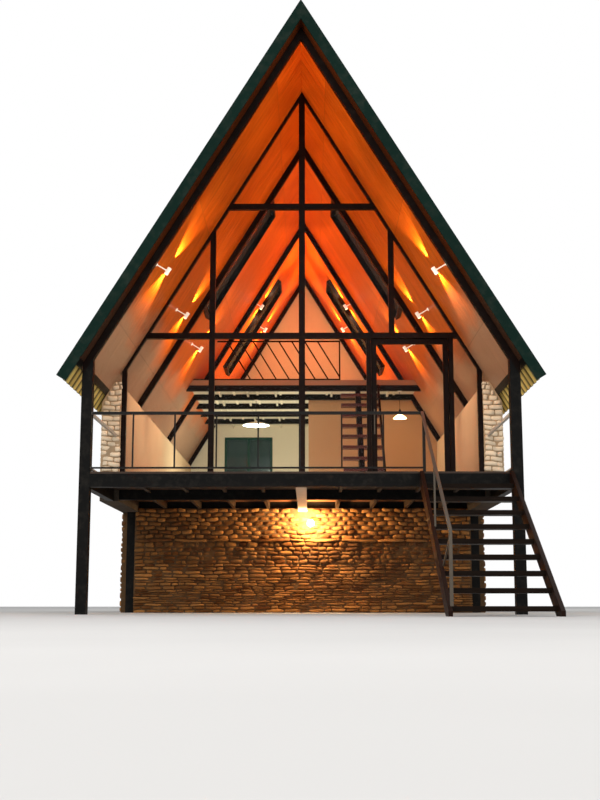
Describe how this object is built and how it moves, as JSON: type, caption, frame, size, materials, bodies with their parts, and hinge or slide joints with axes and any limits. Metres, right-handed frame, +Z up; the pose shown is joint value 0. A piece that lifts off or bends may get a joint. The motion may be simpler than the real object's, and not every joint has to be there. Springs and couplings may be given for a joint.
{
  "type": "a-frame cabin",
  "caption": "Steep A-frame cabin on steel posts with a raised deck, an open-riser stair, a fully glazed gable, a loft with its own stair and a ribbed metal roof over brick and stone walls.",
  "frame": {"origin": "middle of the bounding box on the lowest ground, under the ridge", "axes": "+X to the right seen from the stair, +Y from the stair towards the rear wall along the ridge, +Z up"},
  "size_m": [6.774, 17.265, 8.8486],
  "materials": {
    "dark_steel": "satin near-black paint",
    "brown_steel": "satin dark brown paint",
    "pale_steel": "pale galvanised paint",
    "roof_green": "dark green coated sheet",
    "deck_board": "dark oiled boards",
    "floor_board": "varnished boards",
    "plywood": "varnished plywood",
    "red_tread": "red-brown stained timber",
    "batten": "raw timber",
    "white_brick": "white-painted brick",
    "plaster": "cream plaster",
    "rubble": "brown rubble stone",
    "concrete": "plain concrete",
    "cream_board": "cream-painted boards",
    "window_green": "green paint",
    "clear_glass": "clear",
    "lamp_white": "opal, lit"
  },
  "bodies": {
    "house": {"posts": "dark_steel", "cross_beams": "dark_steel", "side_beams": "dark_steel", "centre_beams": "pale_steel", "floor_joists": "dark_steel", "deck_floor": "deck_board", "house_floor": "floor_board", "ring_beams": "concrete", "stone_front_wall": "rubble", "stone_side_walls": "rubble", "stone_rear_wall": "rubble", "left_rafters": "brown_steel", "right_rafters": "brown_steel", "left_lining": "plywood", "right_lining": "plywood", "left_roof": "roof_green", "right_roof": "roof_green", "ridge_cap": "roof_green", "left_barge_boards": "roof_green", "right_barge_boards": "roof_green", "eave_beams": "dark_steel", "roof_battens": "batten", "skylight_frames": "dark_steel", "skylight_glass": "clear_glass", "left_brick_wall": "white_brick", "right_brick_wall": "white_brick", "rear_wall": "plaster", "rear_window_frame": "window_green", "rear_window_glass": "clear_glass", "partition_wall": "plaster", "glazed_gable_posts": "brown_steel", "glazed_gable_rails": "brown_steel", "glazed_gable_panes": "clear_glass", "deck_railings": "dark_steel", "stair_stringers": "brown_steel", "stair_treads": "deck_board", "stair_handrail": "pale_steel", "loft_beams": "dark_steel", "loft_floor": "cream_board", "loft_railing": "brown_steel", "inner_stair_stringers": "brown_steel", "inner_stair_treads": "red_tread", "wall_lamps": "lamp_white", "pendant_lamps": "lamp_white"},
    "door": {"door_leaf": "brown_steel", "door_glass": "clear_glass", "door_handle": "pale_steel"}
  },
  "joints": [
    {"name": "door_hinge", "type": "hinge", "parent": "house", "child": "door", "pos_m": [2.3475, -3.1125, 1.95], "axis": [0, 0, -1], "range_deg": [0, 90]}
  ]
}
